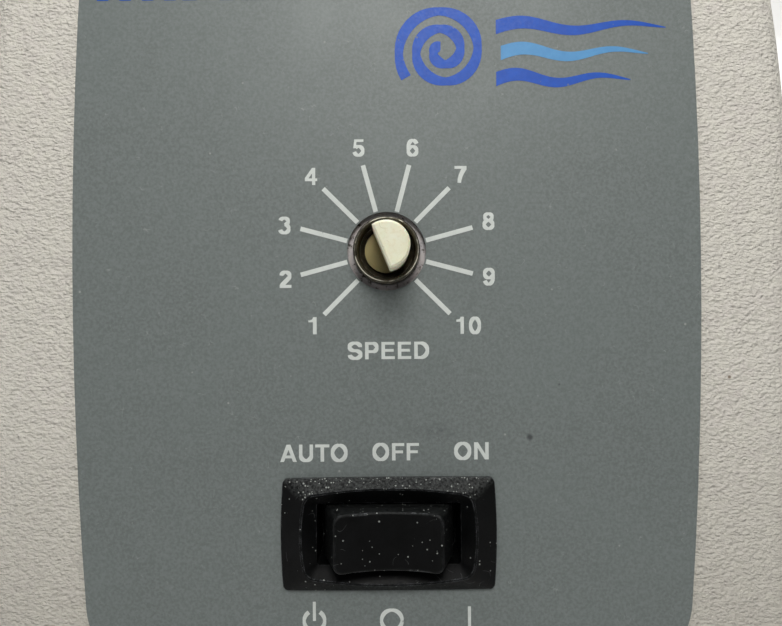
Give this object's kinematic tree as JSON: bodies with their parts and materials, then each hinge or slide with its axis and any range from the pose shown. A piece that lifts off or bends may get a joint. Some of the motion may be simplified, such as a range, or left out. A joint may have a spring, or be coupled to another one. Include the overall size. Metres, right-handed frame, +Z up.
{
  "type": "vortex mixer",
  "caption": "Bench vortex mixer: sloping cast casing on rubber feet, eccentric motor head under a rubber cup, rocker switch and speed shaft.",
  "frame": {"origin": "on the bench surface under the middle of the mixer", "axes": "+Z up, the sloping front with its controls faces -Y, +X to the right seen from the front"},
  "size_m": [0.122, 0.165, 0.165],
  "materials": {
    "textured_paint": "off-white wrinkle paint on a zinc casting",
    "overlay_print": "grey-green printed sheet",
    "plated_sheet": "zinc-plated steel sheet",
    "black_rubber": "moulded rubber",
    "cup_rubber": "soft black rubber",
    "zinc_screws": "zinc-plated steel",
    "black_nylon": "black moulded nylon",
    "black_plastic": "black moulded plastic",
    "cream_nylon": "cream nylon",
    "brass_blades": "brass blades",
    "plated_blades": "nickel-plated blades",
    "dark_phenolic": "dark phenolic",
    "dark_bronze": "oxidised bronze-coloured plating",
    "cast_alloy": "die-cast alloy",
    "sintered_bronze": "oiled sintered bronze",
    "lamination_steel": "stacked steel laminations",
    "copper": "copper",
    "ground_steel": "ground steel",
    "brass_weight": "turned brass",
    "board_laminate": "green glass-fibre board",
    "yellow_film": "yellow film capacitor case",
    "green_plastic": "green moulded plastic"
  },
  "bodies": {
    "casing": {"base_plate": "plated_sheet", "board_capacitor": "yellow_film", "board_choke": "copper", "board_screws": "zinc_screws", "board_standoffs": "plated_sheet", "coil_bobbins": "cream_nylon", "control_board": "board_laminate", "cover_screws": "zinc_screws", "field_coils": "copper", "foot_screws": "zinc_screws", "front_overlay": "overlay_print", "head_boot": "black_rubber", "heatsink": "cast_alloy", "housing": "textured_paint", "inlet_pins": "plated_blades", "lower_bearing": "sintered_bronze", "motor_bolts": "zinc_screws", "motor_lower_bracket": "cast_alloy", "motor_mounts": "black_rubber", "motor_upper_bracket": "cast_alloy", "mount_screws": "zinc_screws", "pot_body": "dark_phenolic", "pot_bushing": "dark_bronze", "pot_nut": "plated_sheet", "pot_terminals": "brass_blades", "pot_washer": "plated_sheet", "power_inlet": "black_nylon", "rubber_feet": "black_rubber", "shading_rings": "copper", "stator_core": "lamination_steel", "switch_case": "black_nylon", "switch_terminals": "brass_blades", "terminal_block": "green_plastic", "thrust_guide": "plated_sheet", "thrust_spring": "ground_steel", "top_collar": "black_plastic", "touch_bracket": "plated_sheet", "touch_screws": "zinc_screws", "touch_switch": "black_nylon", "triac": "black_nylon", "upper_bearing": "sintered_bronze"},
    "thrust_plunger": {"thrust_pad": "cream_nylon"},
    "rotor": {"motor_shaft": "ground_steel", "rotor_core": "lamination_steel", "rotor_cage": "cast_alloy", "cooling_fan": "black_nylon", "thrust_washer": "cream_nylon", "eccentric_hub": "ground_steel", "hub_set_screw": "zinc_screws", "counterweight": "brass_weight", "crank_clip": "ground_steel", "head_bearing_inner": "ground_steel"},
    "head": {"head_bearing_outer": "ground_steel", "head_bearing_balls": "ground_steel", "head_post": "cast_alloy"},
    "cup": {"rubber_cup": "cup_rubber"},
    "rocker": {"switch_paddle": "black_nylon"},
    "speed_shaft": {"pot_shaft": "cream_nylon"},
    "touch_arm": {"touch_lever": "ground_steel"}
  },
  "joints": [
    {"name": "touch_press", "type": "slide", "parent": "casing", "child": "thrust_plunger", "axis": [0, 0, -1], "range_m": [0, 0.0025], "stiffness_N_per_m": 4000, "springref_m": -0.004, "deforming": ["thrust_spring", "head_boot"]},
    {"name": "motor_spin", "type": "hinge", "parent": "thrust_plunger", "child": "rotor", "pos_m": [0, 0.024, 0.06], "axis": [0, 0, 1], "continuous": true},
    {"name": "head_orbit", "type": "hinge", "parent": "rotor", "child": "head", "pos_m": [0.003, 0.024, 0.1255], "axis": [0, 0, 1], "continuous": true},
    {"name": "cup_pull_off", "type": "slide", "parent": "head", "child": "cup", "axis": [0, 0, 1], "range_m": [0, 0.02]},
    {"name": "rocker_tilt", "type": "hinge", "parent": "casing", "child": "rocker", "pos_m": [0, -0.06775, 0.03911], "axis": [0, 0.454, 0.891], "range_deg": [-11, 11]},
    {"name": "speed_turn", "type": "hinge", "parent": "casing", "child": "speed_shaft", "pos_m": [0, -0.05221, 0.07733], "axis": [0, -0.891, 0.454], "range_deg": [-247.2, 22.8]},
    {"name": "touch_lever_swing", "type": "hinge", "parent": "casing", "child": "touch_arm", "pos_m": [0.03, 0.024, 0.02455], "axis": [0, -1, 0], "range_deg": [0, 7.3]}
  ],
  "couplings": [
    {"joint": "head_orbit", "follows": "motor_spin", "ratio": -1},
    {"joint": "touch_lever_swing", "follows": "touch_press", "rad_per_m": 50}
  ]
}
